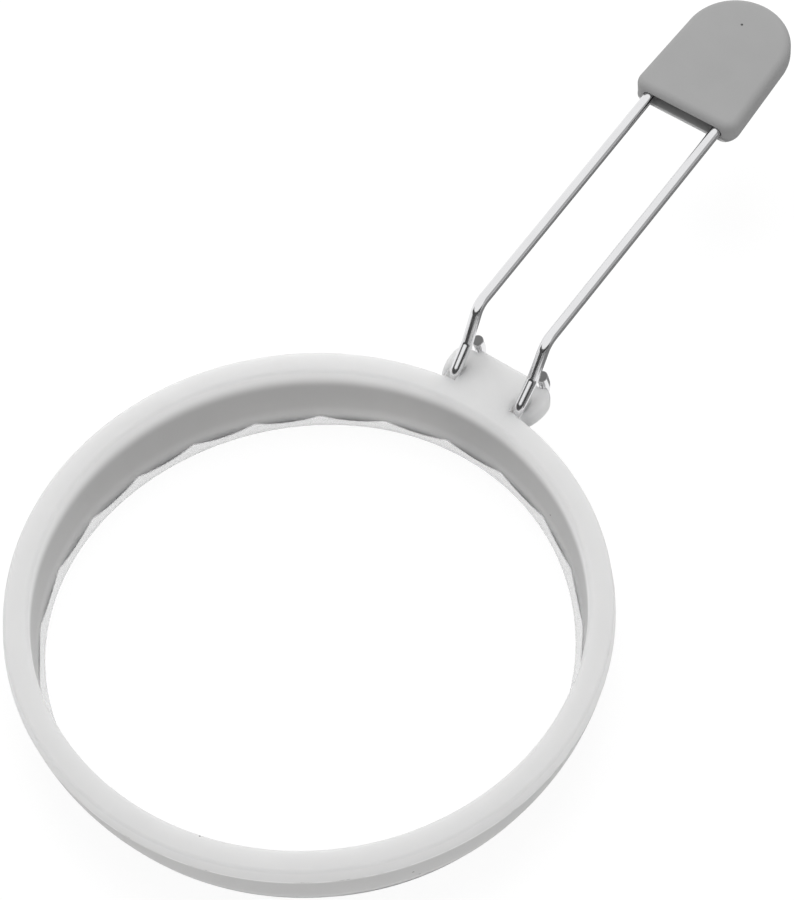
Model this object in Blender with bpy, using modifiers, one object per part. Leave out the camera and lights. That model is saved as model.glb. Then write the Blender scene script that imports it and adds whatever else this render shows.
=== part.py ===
"""Egg ring with a hinged wire handle, modelled in metres with +Z up.

The ring lies on its lower face at z = 0 and the handle points along +X. The origin is under
the middle of the whole part: halfway along it from the ring's far side to the grip's end.
Three pieces make it: the moulded silicone ring with its hinge lug, the bent wire handle whose
two eyes go round the lug's bars, and the silicone sleeve pushed over the wire's closed end.
"""
import math

import bmesh
import bpy
from mathutils import Matrix, Vector

MM = 0.001

# Clearances and cutting
fit_gap = 0.3 * MM             # running and push fits between two pieces
cut_over = 2.0 * MM            # how far a cutter runs past the face that it opens
weld_distance = 0.001 * MM     # points closer than this are one

# Ring
ring_outer_radius = 65.0 * MM  # at the rim
ring_height = 18.3 * MM
rim_width = 5.4 * MM           # flat top of the wall
parting_drop = 3.85 * MM       # the mould's parting line runs round this far below the rim
parting_swell = 0.3 * MM       # and the outside is this much wider there
flash_height = 0.12 * MM       # thin ridge left along the parting line
flash_width = 0.3 * MM
outer_draft = 3.5 * MM         # from the rim's radius in to the foot's
inner_draft = 0.35 * MM
rim_inner_round = 1.1 * MM
rim_outer_round = 0.8 * MM
foot_round = 0.5 * MM
wall_swell = 0.5 * MM          # how far the outside stands out halfway from parting line to foot
wall_steps = 4                 # facets between the parting line and the foot
wall_straight_from = 4.0 * MM  # above this height the inside has no scallops
ring_segments = 200

# Sealing lip with its scalloped root
lip_width = 1.65 * MM
lip_edge = 0.45 * MM
scallop_count = 25
scallop_top = 1.8 * MM         # height of the root at the points between two scallops
scallop_drop = 1.4 * MM        # how much lower it is in the middle of a scallop
scallop_bulge = 0.35 * MM      # how far the middle stands into the ring
scallop_turn = math.radians(6.0)

# Hinge lug
lug_reach = 10.2 * MM
lug_half_width = 12.8 * MM
lug_thickness = 6.0 * MM
lug_corner = 4.0 * MM
lug_side_straight = 0.4 * MM
lug_flank_radius = 12.0 * MM   # each side then curves in towards the ring
lug_flank_turn = math.radians(45.0)
lug_edge_round = 2.2 * MM
lug_root_cover = 0.3 * MM      # the lug's hidden end stays this far behind the wall's inner face
bar_width = 6.1 * MM
bar_setback = 1.15 * MM        # the bars lie this far behind the lug's outer edge
bar_sink = 0.15 * MM           # and this far below its top and bottom
bar_corner = 1.6 * MM
bar_root = 0.6 * MM            # each end of a bar is let into the slot's side by this much
rim_notch = 0.75 * MM          # the slots run this far into the rim

# Wire handle
wire_diameter = 2.64 * MM
leg_spacing = 18.0 * MM
eye_spacing = 17.3 * MM        # the legs lean in a little towards their eyes
leg_length = 89.65 * MM        # from the upper bend to the middle of the closed end
lower_run = 6.0 * MM
upper_run = 9.6 * MM
tip_turn = math.radians(13.6)  # the eye runs on above the level by this much
tip_length = 3.6 * MM          # and ends in a straight tip
bend_radius = 4.0 * MM
lower_run_slope = math.radians(46.0)
upper_run_slope = math.radians(60.0)
leg_slope = math.radians(3.6)

# Grip sleeve
grip_width = 25.3 * MM         # across the round end
grip_mouth_width = 26.8 * MM
grip_straight = 22.1 * MM      # from the middle of the round end to the mouth
grip_thickness = 6.2 * MM
grip_corner = 3.0 * MM
grip_edge_round = 2.0 * MM
pocket_round_share = 0.45      # rounding of the pocket's edges, as a share of its height

# Worked out from the sizes above
wire_radius = wire_diameter / 2
half_spacing = leg_spacing / 2
eye_half_spacing = eye_spacing / 2
slot_width = wire_diameter + 2 * fit_gap
lug_edge = ring_outer_radius + lug_reach
bar_middle = lug_edge - bar_setback - bar_width / 2
bar_height = lug_thickness - 2 * bar_sink
axis_height = ring_height - lug_thickness / 2
bar_reach = bar_corner + math.hypot(bar_width / 2 - bar_corner, bar_height / 2 - bar_corner)
eye_radius = bar_reach + fit_gap + wire_radius


def along(slope, length):
    """A step of the given length in the handle's side view, at a slope from the level."""
    return Vector((length * math.cos(slope), length * math.sin(slope)))


# Side view of the handle (x outwards, z up), measured from the hinge axis
run_start = Vector((-eye_radius * math.sin(lower_run_slope), eye_radius * math.cos(lower_run_slope)))
lower_bend = run_start + along(lower_run_slope, lower_run)
upper_bend = lower_bend + along(upper_run_slope, upper_run)
loop_middle = upper_bend + along(leg_slope, leg_length)
grip_flat_end = along(leg_slope, grip_width / 2 - grip_edge_round).x
grip_flat_half = (grip_thickness / 2 - grip_edge_round) * math.sin(leg_slope)
grip_end = bar_middle + loop_middle.x + grip_flat_end + grip_flat_half + grip_edge_round
ring_reach = ring_outer_radius + parting_swell + flash_height
ring_middle = Vector(((ring_reach - grip_end) / 2, 0, 0))
hinge_axis = ring_middle + Vector((bar_middle, 0, axis_height))


def new_collection(name):
    """An empty collection linked to the scene."""
    collection = bpy.data.collections.new(name)
    bpy.context.scene.collection.children.link(collection)
    return collection


def new_material(name, colour, roughness, metallic):
    """A Principled material; the colour is linear red, green and blue."""
    material = bpy.data.materials.new(name)
    material.use_nodes = True
    shader = material.node_tree.nodes["Principled BSDF"]
    shader.inputs["Base Color"].default_value = (*colour, 1)
    shader.inputs["Roughness"].default_value = roughness
    shader.inputs["Metallic"].default_value = metallic
    return material


def mesh_object(name, mesh, collection):
    """An object for a mesh, linked to a collection."""
    piece = bpy.data.objects.new(name, mesh)
    collection.objects.link(piece)
    return piece


def finished_mesh(source):
    """The mesh of an object with its modifiers applied, welded and cut into flat triangles."""
    bpy.context.view_layer.update()
    evaluated = source.evaluated_get(bpy.context.evaluated_depsgraph_get())
    mesh = bpy.data.meshes.new_from_object(evaluated)
    work = bmesh.new()
    work.from_mesh(mesh)
    bmesh.ops.remove_doubles(work, verts=work.verts, dist=weld_distance)
    bmesh.ops.triangulate(work, faces=work.faces)
    work.to_mesh(mesh)
    work.free()
    return mesh


def apply_modifiers(piece):
    """Keep what a piece's modifiers make as its own mesh."""
    mesh = finished_mesh(piece)
    piece.modifiers.clear()
    piece.data = mesh


def arc(centre, radius, start, end, steps):
    """Points on an arc from one angle to another, both ends included."""
    angles = [start + (end - start) * step / steps for step in range(steps + 1)]
    return [Vector((centre[0] + radius * math.cos(a), centre[1] + radius * math.sin(a))) for a in angles]


def slab(name, outline, thickness, edge_round, collection):
    """A flat piece of even thickness about z = 0, its outline's edges rounded if asked."""
    work = bmesh.new()
    base = work.faces.new([work.verts.new((p[0], p[1], -thickness / 2)) for p in outline])
    lifted = bmesh.ops.extrude_face_region(work, geom=[base])["geom"]
    top = [item for item in lifted if isinstance(item, bmesh.types.BMVert)]
    bmesh.ops.translate(work, verts=top, vec=(0, 0, thickness))
    if edge_round:
        level = [e for e in work.edges if abs(e.verts[0].co.z - e.verts[1].co.z) < weld_distance]
        bmesh.ops.bevel(work, geom=level, offset=edge_round, segments=4, profile=0.5, affect="EDGES")
    bmesh.ops.remove_doubles(work, verts=work.verts, dist=weld_distance)
    bmesh.ops.recalc_face_normals(work, faces=work.faces)
    bmesh.ops.triangulate(work, faces=work.faces)
    mesh = bpy.data.meshes.new(name)
    work.to_mesh(mesh)
    work.free()
    piece = mesh_object(name, mesh, collection)
    if collection.name.endswith("guides"):
        piece.hide_render = True
        piece.display_type = "WIRE"
    return piece


def boolean(target, other, operation):
    """Join or cut a piece with another one, exactly."""
    modifier = target.modifiers.new(other.name, "BOOLEAN")
    modifier.operation = operation
    modifier.solver = "EXACT"
    modifier.object = other


def finish(piece, material, sharp_angle):
    """Apply what a piece still carries, give it its material and shade it smooth."""
    apply_modifiers(piece)
    piece.data.materials.clear()
    piece.data.materials.append(material)
    piece.data.shade_smooth()
    piece.data.set_sharp_from_angle(angle=math.radians(sharp_angle))


def ring_profile():
    """Section of the ring's wall at +X, down the outside and back up the inside."""
    inner_radius = ring_outer_radius - rim_width
    foot_radius = ring_outer_radius - outer_draft
    root_radius = inner_radius - inner_draft
    lip_radius = root_radius - lip_width
    quarter = math.pi / 2
    rim_outer = (ring_outer_radius - rim_outer_round, ring_height - rim_outer_round)
    foot_outer = (foot_radius - foot_round, foot_round)
    rim_inner = (inner_radius + rim_inner_round, ring_height - rim_inner_round)
    draft_share = (wall_straight_from - scallop_top) / (ring_height - scallop_top)
    straight_radius = root_radius + inner_draft * draft_share
    parting_radius = ring_outer_radius + parting_swell
    parting_height = ring_height - parting_drop
    outline = arc(rim_outer, rim_outer_round, quarter, 0, 2)
    outline += [Vector((parting_radius, parting_height + flash_width / 2))]
    outline += [Vector((parting_radius + flash_height, parting_height))]
    wall_top = Vector((parting_radius, parting_height - flash_width / 2))
    wall_foot = Vector((foot_radius, foot_round))
    for step in range(wall_steps):
        share = step / wall_steps
        swell = wall_swell * (1 - (2 * share - 1) ** 2)
        outline += [wall_top.lerp(wall_foot, share) + Vector((swell, 0))]
    outline += arc(foot_outer, foot_round, 0, -quarter, 2)
    outline += [Vector((lip_radius, 0)), Vector((lip_radius, lip_edge))]
    outline += [Vector((root_radius, scallop_top)), Vector((straight_radius, wall_straight_from))]
    outline += arc(rim_inner, rim_inner_round, 2 * quarter, quarter, 4)
    return outline, Vector((root_radius, scallop_top))


def scallop_depth(angle):
    """How deep into a scallop an angle lies: 0 at the points between two, 1 in the middle."""
    place = (angle * scallop_count / math.tau) % 1
    return 1 - (2 * place - 1) ** 2


def turned_ring(collection):
    """The plain ring, turned from its section, with the root of the lip drawn into scallops."""
    outline, root = ring_profile()
    work = bmesh.new()
    points = [work.verts.new((p.x, 0, p.y)) for p in outline]
    for first, second in zip(points, points[1:] + points[:1]):
        work.edges.new((first, second))
    section = bpy.data.meshes.new("ring_section")
    work.to_mesh(section)
    work.free()
    lathe = mesh_object("ring_section", section, collection)
    screw = lathe.modifiers.new("turn", "SCREW")
    screw.steps = ring_segments
    screw.render_steps = ring_segments
    screw.use_merge_vertices = True
    screw.merge_threshold = weld_distance
    mesh = finished_mesh(lathe)
    bpy.data.objects.remove(lathe)
    for vertex in mesh.vertices:
        place = vertex.co
        radius = math.hypot(place.x, place.y)
        at_root = abs(radius - root.x) < weld_distance and abs(place.z - root.y) < weld_distance
        if at_root:
            depth = scallop_depth(math.atan2(place.y, place.x) + math.tau)
            drawn_in = 1 - scallop_bulge * depth / radius
            vertex.co = (place.x * drawn_in, place.y * drawn_in, place.z - scallop_drop * depth)
    mesh.transform(Matrix.Rotation(scallop_turn, 4, "Z"))
    return mesh


def lug_outline():
    """Plan of the lug: a root inside the wall, curved flanks and two round outer corners."""
    quarter = math.pi / 2
    corner_x = lug_edge - lug_corner
    corner_y = lug_half_width - lug_corner
    flank_x = corner_x - lug_side_straight
    flank_y = lug_half_width - lug_flank_radius
    flank_end = quarter + lug_flank_turn
    root_x = ring_outer_radius - rim_width + lug_root_cover
    root_y = flank_y + lug_flank_radius * math.sin(flank_end)
    outline = [Vector((root_x, -root_y))]
    outline += arc((flank_x, -flank_y), lug_flank_radius, -flank_end, -quarter, 6)
    outline += arc((corner_x, -corner_y), lug_corner, -quarter, 0, 6)
    outline += arc((corner_x, corner_y), lug_corner, 0, quarter, 6)
    outline += arc((flank_x, flank_y), lug_flank_radius, quarter, flank_end, 6)
    outline += [Vector((root_x, root_y))]
    return outline


def bar_section():
    """Rounded section of a hinge bar."""
    x = bar_width / 2 - bar_corner
    z = bar_height / 2 - bar_corner
    quarter = math.pi / 2
    outline = arc((x, z), bar_corner, 0, quarter, 4)
    outline += arc((-x, z), bar_corner, quarter, 2 * quarter, 4)
    outline += arc((-x, -z), bar_corner, 2 * quarter, 3 * quarter, 4)
    outline += arc((x, -z), bar_corner, 3 * quarter, 4 * quarter, 4)
    return outline


def make_ring(collection, guides, material):
    """One moulding: the turned ring and its lug, a slot for each eye and a bar left across each."""
    level = Vector((0, 0, axis_height))
    lug = slab("lug", lug_outline(), lug_thickness, lug_edge_round, guides)
    lug.location = ring_middle + level
    ring = mesh_object("silicone_ring", turned_ring(collection), collection)
    ring.location = ring_middle
    boolean(ring, lug, "UNION")
    apply_modifiers(ring)
    slot_start = ring_outer_radius - rim_notch
    slot_end = lug_edge + cut_over
    bar_length = slot_width + 2 * bar_root
    for side, label in ((1, "left"), (-1, "right")):
        inner = side * eye_half_spacing - slot_width / 2
        outer = side * eye_half_spacing + slot_width / 2
        plan = [Vector((slot_start, inner)), Vector((slot_end, inner))]
        plan += [Vector((slot_end, outer)), Vector((slot_start, outer))]
        slot = slab("slot_" + label, plan, lug_thickness + 2 * cut_over, 0, guides)
        slot.location = ring_middle + level
        boolean(ring, slot, "DIFFERENCE")
        bar = slab("bar_" + label, bar_section(), bar_length, 0, guides)
        bar.rotation_euler = (math.pi / 2, 0, 0)
        bar.location = hinge_axis + Vector((0, side * eye_half_spacing, 0))
        boolean(ring, bar, "UNION")
    finish(ring, material, 35)


def rounded_corner(before, corner, after, radius, steps):
    """Points of a bend that is tangent to both runs that meet at a corner."""
    back = (before - corner).normalized()
    on = (after - corner).normalized()
    half = back.angle(on) / 2
    centre = corner + (back + on).normalized() * (radius / math.sin(half))
    reach = radius / math.tan(half)
    start = corner + back * reach - centre
    end = corner + on * reach - centre
    turn = start.angle_signed(end)
    points = []
    for step in range(steps + 1):
        bent = start.copy()
        bent.rotate(Matrix.Rotation(-turn * step / steps, 2))
        points.append(centre + bent)
    return points


def left_leg():
    """The left leg's wire from its cut tip round the eye and the two bends, from the hinge axis."""
    exit_angle = math.pi / 2 + lower_run_slope
    eye = arc((0, 0), eye_radius, math.tau + tip_turn, exit_angle, 19)
    tip = eye[0] + along(math.pi / 2 + tip_turn, tip_length)
    path = [Vector((p.x, eye_half_spacing, p.y)) for p in [tip] + eye]
    bends = rounded_corner(run_start, lower_bend, upper_bend, bend_radius, 2)
    bends += rounded_corner(lower_bend, upper_bend, loop_middle, bend_radius, 5)
    for point in bends:
        climb_share = min(1, (point.y - run_start.y) / (upper_bend.y - run_start.y))
        spread = eye_half_spacing + (half_spacing - eye_half_spacing) * climb_share
        path.append(Vector((point.x, spread, point.y)))
    return path


def make_wire(collection, pivot, material):
    """One length of wire: an eye, two bends and a leg on each side, and a half circle between."""
    leg = left_leg()
    path = list(leg)
    for point in arc((0, 0), half_spacing, math.pi / 2, -math.pi / 2, 16):
        rise = along(leg_slope, point.x)
        path.append(Vector((loop_middle.x + rise.x, point.y, loop_middle.y + rise.y)))
    path += [Vector((p.x, -p.y, p.z)) for p in reversed(leg)]
    curve = bpy.data.curves.new("handle_wire", "CURVE")
    curve.dimensions = "3D"
    curve.bevel_depth = wire_radius
    curve.bevel_resolution = 3
    curve.use_fill_caps = True
    spline = curve.splines.new("POLY")
    spline.points.add(len(path) - 1)
    for point, place in zip(spline.points, path):
        point.co = (*place, 1)
    drawn = mesh_object("wire_path", curve, collection)
    wire = mesh_object("handle_wire", finished_mesh(drawn), collection)
    bpy.data.objects.remove(drawn)
    wire.parent = pivot
    finish(wire, material, 60)


def arched_outline(radius, straight, mouth_half_width, corner):
    """Plan of a tongue: a round end about the origin and two sides running back to a mouth."""
    quarter = math.pi / 2
    outline = arc((0, 0), radius, -quarter, quarter, 24)
    if corner:
        back = -straight + corner
        side = mouth_half_width - corner
        outline += arc((back, side), corner, quarter, 2 * quarter, 4)
        outline += arc((back, -side), corner, 2 * quarter, 3 * quarter, 4)
    else:
        outline += [Vector((-straight, mouth_half_width)), Vector((-straight, -mouth_half_width))]
    return outline


def make_grip(collection, guides, pivot, material):
    """The sleeve: an arched tongue with rounded edges and a flat pocket for the wire's end."""
    sleeve_plan = arched_outline(grip_width / 2, grip_straight, grip_mouth_width / 2, grip_corner)
    grip = slab("grip_sleeve", sleeve_plan, grip_thickness, grip_edge_round, collection)
    pocket_half_width = half_spacing + wire_radius + fit_gap
    pocket_height = wire_diameter + 2 * fit_gap
    pocket_depth = grip_straight + cut_over
    pocket_plan = arched_outline(pocket_half_width, pocket_depth, pocket_half_width, 0)
    pocket_round = pocket_height * pocket_round_share
    pocket = slab("grip_pocket", pocket_plan, pocket_height, pocket_round, guides)
    for piece in (grip, pocket):
        piece.parent = pivot
        piece.location = (loop_middle.x, 0, loop_middle.y)
        piece.rotation_euler = (0, -leg_slope, 0)
    boolean(grip, pocket, "DIFFERENCE")
    finish(grip, material, 40)


def main():
    for leftover in list(bpy.data.objects):
        bpy.data.objects.remove(leftover)
    part = new_collection("egg_ring")
    guides = new_collection("egg_ring_guides")
    white_silicone = new_material("white_silicone", (0.78, 0.78, 0.77), 0.45, 0.0)
    polished_steel = new_material("polished_steel", (0.72, 0.72, 0.73), 0.12, 1.0)
    grey_silicone = new_material("grey_silicone", (0.36, 0.36, 0.36), 0.62, 0.0)
    pivot = bpy.data.objects.new("handle_pivot", None)
    part.objects.link(pivot)
    pivot.location = hinge_axis
    make_ring(part, guides, white_silicone)
    make_wire(part, pivot, polished_steel)
    make_grip(part, guides, pivot, grey_silicone)


main()
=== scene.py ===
import math

import bmesh
import bpy
from mathutils import Matrix, Vector


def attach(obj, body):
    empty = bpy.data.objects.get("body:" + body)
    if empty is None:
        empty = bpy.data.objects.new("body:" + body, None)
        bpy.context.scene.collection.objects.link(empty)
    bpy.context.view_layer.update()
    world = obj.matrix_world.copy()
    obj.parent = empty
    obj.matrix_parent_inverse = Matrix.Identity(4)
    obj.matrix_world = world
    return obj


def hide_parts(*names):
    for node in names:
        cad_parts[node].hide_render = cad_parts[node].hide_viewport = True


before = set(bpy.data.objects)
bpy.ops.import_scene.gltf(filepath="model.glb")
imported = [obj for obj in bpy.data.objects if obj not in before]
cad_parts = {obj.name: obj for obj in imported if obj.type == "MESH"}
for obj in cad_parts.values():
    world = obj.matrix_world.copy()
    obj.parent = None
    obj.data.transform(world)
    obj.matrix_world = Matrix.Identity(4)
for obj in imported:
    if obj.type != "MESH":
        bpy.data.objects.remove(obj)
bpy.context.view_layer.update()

# The ring: one moulding of milky white food-grade silicone, pressed in a two-part mould that
# leaves a thin parting line round the outside. Its wall stands on a thin lip, scalloped at the
# root, that seals it against the pan, and a lug for the handle grows out of it.
MM = 0.001
RING_CENTRE = Vector((-56.513, 0, 0)) * MM
RIM_RADIUS = 65.0 * MM
RING_HEIGHT = 18.3 * MM
RIM_WIDTH = 5.4 * MM
PARTING_DROP = 3.85 * MM
PARTING_SWELL = 0.3 * MM
FLASH_HEIGHT = 0.12 * MM
FLASH_HALF_WIDTH = 0.22 * MM
OUTER_DRAFT = 3.5 * MM
INNER_DRAFT = 0.35 * MM
RIM_INNER_ROUND = 1.1 * MM
RIM_OUTER_ROUND = 0.8 * MM
FOOT_ROUND = 0.5 * MM
WALL_SWELL = 0.5 * MM
LIP_WIDTH = 1.65 * MM
LIP_EDGE = 0.45 * MM
LIP_EDGE_ROUND = 0.12 * MM
LIP_EDGE_SHARE = 0.85
CLEAR_UNDER_WALL = 0.9 * MM
SCALLOP_COUNT = 25
SCALLOP_TOP = 1.8 * MM
SCALLOP_DROP = 1.4 * MM
SCALLOP_BULGE = 0.35 * MM
SCALLOP_TURN = math.radians(6.0)
STRAIGHT_FROM = 4.0 * MM
WANDER = ((2, 0.28 * MM, math.radians(7.0)), (3, 0.52 * MM, math.radians(1.0)))
ROOT_WANDER_SHARE = 0.75
WALL_STEPS = 6
SWELL_STEPS = 12
LIP_STEPS = 5
RIM_OUTER_STEPS = 6
RIM_INNER_STEPS = 8
FOOT_STEPS = 4
LIP_EDGE_STEPS = 3
RING_STEPS = 480
RAGGED_SCALE = 420
RAGGED_DETAIL = 2
RING_CREASE = math.radians(32)
QUARTER = math.pi / 2
WELD = 0.002 * MM


def link(obj):
    """Put an object in the scene."""
    bpy.context.scene.collection.objects.link(obj)
    return obj


def arc(centre, radius, start, end, steps):
    """Points on an arc from one angle to another, both ends included."""
    points = []
    for step in range(steps + 1):
        turn = start + (end - start) * step / steps
        x = centre[0] + radius * math.cos(turn)
        y = centre[1] + radius * math.sin(turn)
        points.append(Vector((x, y)))
    return points


def plain_mesh(obj, name):
    """What an object's modifiers make, as a new object that carries none."""
    bpy.context.view_layer.update()
    evaluated = obj.evaluated_get(bpy.context.evaluated_depsgraph_get())
    mesh = bpy.data.meshes.new_from_object(evaluated)
    bpy.data.objects.remove(obj)
    work = bmesh.new()
    work.from_mesh(mesh)
    bmesh.ops.remove_doubles(work, verts=work.verts, dist=WELD)
    bmesh.ops.recalc_face_normals(work, faces=work.faces)
    bmesh.ops.triangulate(work, faces=work.faces)
    work.to_mesh(mesh)
    work.free()
    return link(bpy.data.objects.new(name, mesh))


def new_tree(name, inputs):
    """A Geometry Nodes tree with named inputs, and its input and output nodes."""
    tree = bpy.data.node_groups.new(name, "GeometryNodeTree")
    tree.interface.new_socket("Geometry", in_out="INPUT", socket_type="NodeSocketGeometry")
    for label, kind in inputs:
        tree.interface.new_socket(label, in_out="INPUT", socket_type=kind)
    tree.interface.new_socket("Geometry", in_out="OUTPUT", socket_type="NodeSocketGeometry")
    return tree, tree.nodes.new("NodeGroupInput"), tree.nodes.new("NodeGroupOutput")


def run_tree(obj, tree, values):
    """Add a tree to an object with its inputs set by their sockets' identifiers."""
    modifier = obj.modifiers.new(tree.name, "NODES")
    modifier.node_group = tree
    for item in tree.interface.items_tree:
        if item.in_out == "INPUT" and item.name in values:
            modifier[item.identifier] = values[item.name]


def math_node(tree, operation, *values):
    """A Math node fed by sockets or plain numbers; returns its result."""
    node = tree.nodes.new("ShaderNodeMath")
    node.operation = operation
    for socket, value in zip(node.inputs, values):
        if isinstance(value, bpy.types.NodeSocket):
            tree.links.new(value, socket)
        else:
            socket.default_value = value
    return node.outputs[0]


def straight(start, end, steps):
    """Points between two ends, both left out."""
    return [start.lerp(end, step / steps) for step in range(1, steps)]


inner_radius = RIM_RADIUS - RIM_WIDTH
root_radius = inner_radius - INNER_DRAFT
lip_radius = root_radius - LIP_WIDTH
foot_radius = RIM_RADIUS - OUTER_DRAFT
parting_radius = RIM_RADIUS + PARTING_SWELL
parting_height = RING_HEIGHT - PARTING_DROP
straight_share = (STRAIGHT_FROM - SCALLOP_TOP) / (RING_HEIGHT - SCALLOP_TOP)
root_point = Vector((root_radius, SCALLOP_TOP))
straight_point = Vector((root_radius + INNER_DRAFT * straight_share, STRAIGHT_FROM))
lip_top = Vector((lip_radius, LIP_EDGE))
flash_top = Vector((parting_radius, parting_height + FLASH_HALF_WIDTH))
flash_foot = Vector((parting_radius, parting_height - FLASH_HALF_WIDTH))

rim_outer = (RIM_RADIUS - RIM_OUTER_ROUND, RING_HEIGHT - RIM_OUTER_ROUND)
rim_inner = (inner_radius + RIM_INNER_ROUND, RING_HEIGHT - RIM_INNER_ROUND)
foot_outer = (foot_radius - FOOT_ROUND, FOOT_ROUND)
lip_inner = (lip_radius + LIP_EDGE_ROUND, LIP_EDGE_ROUND)

# Each point of the section with its shares of the scallops, the flash, the wander and the lip
rim_outer_arc = arc(rim_outer, RIM_OUTER_ROUND, QUARTER, 0, RIM_OUTER_STEPS)
rim_inner_arc = arc(rim_inner, RIM_INNER_ROUND, 2 * QUARTER, QUARTER, RIM_INNER_STEPS)
foot_arc = arc(foot_outer, FOOT_ROUND, 0, -QUARTER, FOOT_STEPS)
lip_edge_arc = arc(lip_inner, LIP_EDGE_ROUND, -QUARTER, -2 * QUARTER, LIP_EDGE_STEPS)
section = [(point, 0, 0, 0, 0) for point in rim_outer_arc]
section += [(point, 0, 0, 0, 0) for point in straight(rim_outer_arc[-1], flash_top, WALL_STEPS)]
section += [(flash_top, 0, 0, 0, 0), (Vector((parting_radius, parting_height)), 0, 1, 0, 0)]
section += [(flash_foot, 0, 0, 0, 0)]
for step in range(1, SWELL_STEPS):
    share = step / SWELL_STEPS
    swell = WALL_SWELL * (1 - (2 * share - 1) ** 2)
    section.append((flash_foot.lerp(foot_arc[0], share) + Vector((swell, 0)), 0, 0, 0, 0))
section += [(point, 0, 0, 0, 0) for point in foot_arc]
# The wall's underside is clear near the lip too, because it shows through the lip at a slant
for clear, side_step in ((0, 2), (1, 1)):
    under_root = Vector((root_radius + side_step * CLEAR_UNDER_WALL, 0))
    section.append((under_root, 0, 0, ROOT_WANDER_SHARE, clear))
section += [(point, 0, 0, 1, LIP_EDGE_SHARE) for point in lip_edge_arc + [lip_top]]
for step in range(1, LIP_STEPS):
    share = step / LIP_STEPS
    wander = 1 + (ROOT_WANDER_SHARE - 1) * share
    section.append((lip_top.lerp(root_point, share), share, 0, wander, 1))
section.append((root_point, 1, 0, ROOT_WANDER_SHARE, 0))
for step in range(1, LIP_STEPS):
    share = step / LIP_STEPS
    section.append((root_point.lerp(straight_point, share), 1 - share, 0, ROOT_WANDER_SHARE, 0))
wall = [straight_point] + straight(straight_point, rim_inner_arc[0], WALL_STEPS)
for step, point in enumerate(wall):
    section.append((point, 0, 0, ROOT_WANDER_SHARE * (1 - step / WALL_STEPS), 0))
section += [(point, 0, 0, 0, 0) for point in rim_inner_arc]

# Swept round by a tree: the section's points carry how far each follows the scallops and the flash
section_mesh = bpy.data.meshes.new("ring_section")
places = [(row[0].x - RIM_RADIUS, -row[0].y, 0) for row in section]
section_mesh.from_pydata(places, [(n, (n + 1) % len(places)) for n in range(len(places))], [])
shares_kept = ("scallop_share", "flash_share", "wander_share", "lip_share")
for column, label in enumerate(shares_kept, 1):
    layer = section_mesh.attributes.new(label, "FLOAT", "POINT")
    layer.data.foreach_set("value", [float(row[column]) for row in section])
ring_sweep = link(bpy.data.objects.new("ring_sweep", section_mesh))

tree, given, made = new_tree("swept_ring", [
    ("Radius", "NodeSocketFloat"), ("Steps", "NodeSocketInt"),
    ("Scallop Count", "NodeSocketInt"), ("Scallop Turn", "NodeSocketFloat"),
    ("Scallop Drop", "NodeSocketFloat"), ("Scallop Bulge", "NodeSocketFloat"),
    ("Flash Height", "NodeSocketFloat"), ("Material", "NodeSocketMaterial")]
    + [("Wander %d" % waves, "NodeSocketFloat") for waves, height, turn in WANDER]
    + [("Wander %d Turn" % waves, "NodeSocketFloat") for waves, height, turn in WANDER])
circle = tree.nodes.new("GeometryNodeCurvePrimitiveCircle")
to_curve = tree.nodes.new("GeometryNodeMeshToCurve")
sweep = tree.nodes.new("GeometryNodeCurveToMesh")
move = tree.nodes.new("GeometryNodeSetPosition")
paint = tree.nodes.new("GeometryNodeSetMaterial")
realize = tree.nodes.new("GeometryNodeRealizeInstances")
position = tree.nodes.new("GeometryNodeInputPosition")
split = tree.nodes.new("ShaderNodeSeparateXYZ")
tree.links.new(given.outputs["Radius"], circle.inputs["Radius"])
tree.links.new(given.outputs["Steps"], circle.inputs["Resolution"])
tree.links.new(given.outputs["Geometry"], to_curve.inputs["Mesh"])
tree.links.new(circle.outputs["Curve"], sweep.inputs["Curve"])
tree.links.new(to_curve.outputs["Curve"], sweep.inputs["Profile Curve"])
tree.links.new(position.outputs["Position"], split.inputs["Vector"])
angle = math_node(tree, "ARCTAN2", split.outputs["Y"], split.outputs["X"])
turned = math_node(tree, "SUBTRACT", angle, given.outputs["Scallop Turn"])
turns = math_node(tree, "DIVIDE", turned, math.tau)
place = math_node(tree, "FRACT", math_node(tree, "MULTIPLY", turns, given.outputs["Scallop Count"]))
swing = math_node(tree, "SUBTRACT", math_node(tree, "MULTIPLY", place, 2), 1)
depth = math_node(tree, "SUBTRACT", 1, math_node(tree, "POWER", swing, 2))
shares = {}
for label in shares_kept[:3]:
    reader = tree.nodes.new("GeometryNodeInputNamedAttribute")
    reader.data_type = "FLOAT"
    reader.inputs["Name"].default_value = label
    shares[label] = reader.outputs["Attribute"]
follow = math_node(tree, "MULTIPLY", depth, shares["scallop_share"])
drop = math_node(tree, "MULTIPLY", follow, given.outputs["Scallop Drop"])
bulge = math_node(tree, "MULTIPLY", follow, given.outputs["Scallop Bulge"])
ragged = tree.nodes.new("ShaderNodeTexNoise")
ragged.inputs["Scale"].default_value = RAGGED_SCALE
ragged.inputs["Detail"].default_value = RAGGED_DETAIL
tree.links.new(position.outputs["Position"], ragged.inputs["Vector"])
ragged_height = math_node(tree, "MULTIPLY", ragged.outputs["Fac"], given.outputs["Flash Height"])
flash = math_node(tree, "MULTIPLY", ragged_height, shares["flash_share"])
outwards = math_node(tree, "SUBTRACT", flash, bulge)
for waves, height, turn in WANDER:
    lag = math_node(tree, "SUBTRACT", angle, given.outputs["Wander %d Turn" % waves])
    wave = math_node(tree, "COSINE", math_node(tree, "MULTIPLY", lag, waves))
    stray = math_node(tree, "MULTIPLY", wave, given.outputs["Wander %d" % waves])
    outwards = math_node(tree, "MULTIPLY_ADD", stray, shares["wander_share"], outwards)
direction = tree.nodes.new("ShaderNodeCombineXYZ")
tree.links.new(math_node(tree, "COSINE", angle), direction.inputs["X"])
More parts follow.
